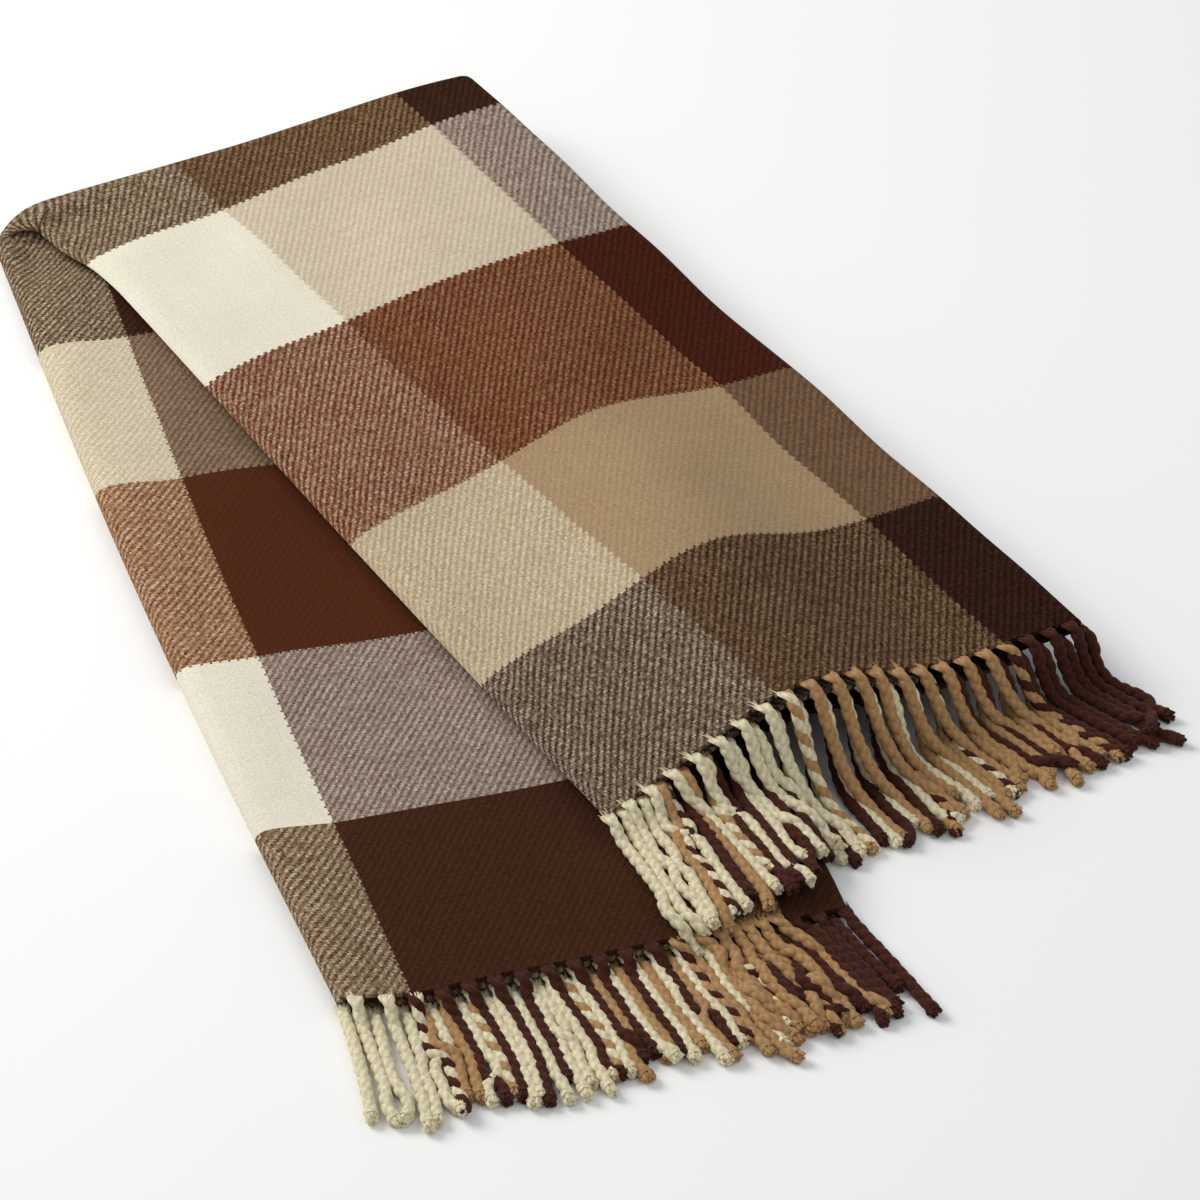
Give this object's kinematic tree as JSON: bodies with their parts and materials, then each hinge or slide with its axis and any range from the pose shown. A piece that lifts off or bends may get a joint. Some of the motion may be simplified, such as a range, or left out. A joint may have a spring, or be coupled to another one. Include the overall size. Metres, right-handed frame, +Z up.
{
  "type": "folded throw blanket",
  "caption": "Brushed twill plaid throw with twisted fringe, folded lengthwise in three and once across, its halves fanned apart at the fringed ends",
  "frame": {"origin": "centre of the bounding box in X and Y, on the surface the throw lies on", "axes": "+Z up; +Y is the fold across, at the back; both fringed ends point to -Y; +X is the side the upper half fans out to"},
  "size_m": [0.565, 1.013, 0.0653],
  "materials": {
    "cloth": "brushed woven plaid in cream, tan, brown, rust, beige and white",
    "fringe_cream": "soft twisted yarn",
    "fringe_tan": "soft twisted yarn",
    "fringe_brown": "soft twisted yarn"
  },
  "bodies": {
    "lower_half": {"cloth_lower_half": "cloth", "cloth_back_fold": "cloth", "fringe_lower_bottom_cream": "fringe_cream", "fringe_lower_bottom_tan": "fringe_tan", "fringe_lower_bottom_brown": "fringe_brown", "fringe_lower_middle_brown": "fringe_brown", "fringe_lower_middle_cream": "fringe_cream", "fringe_lower_middle_tan": "fringe_tan", "fringe_lower_top_tan": "fringe_tan", "fringe_lower_top_brown": "fringe_brown", "fringe_lower_top_cream": "fringe_cream"},
    "upper_half": {"cloth_upper_half": "cloth", "fringe_upper_bottom_tan": "fringe_tan", "fringe_upper_bottom_brown": "fringe_brown", "fringe_upper_bottom_cream": "fringe_cream", "fringe_upper_middle_brown": "fringe_brown", "fringe_upper_middle_cream": "fringe_cream", "fringe_upper_middle_tan": "fringe_tan", "fringe_upper_top_cream": "fringe_cream", "fringe_upper_top_tan": "fringe_tan", "fringe_upper_top_brown": "fringe_brown"}
  },
  "joints": [
    {"name": "unfold", "type": "hinge", "parent": "lower_half", "child": "upper_half", "pos_m": [0, 0.4774, 0.0165], "axis": [-1, 0, 0], "range_deg": [0, 175], "deforming": ["cloth_back_fold"]}
  ]
}
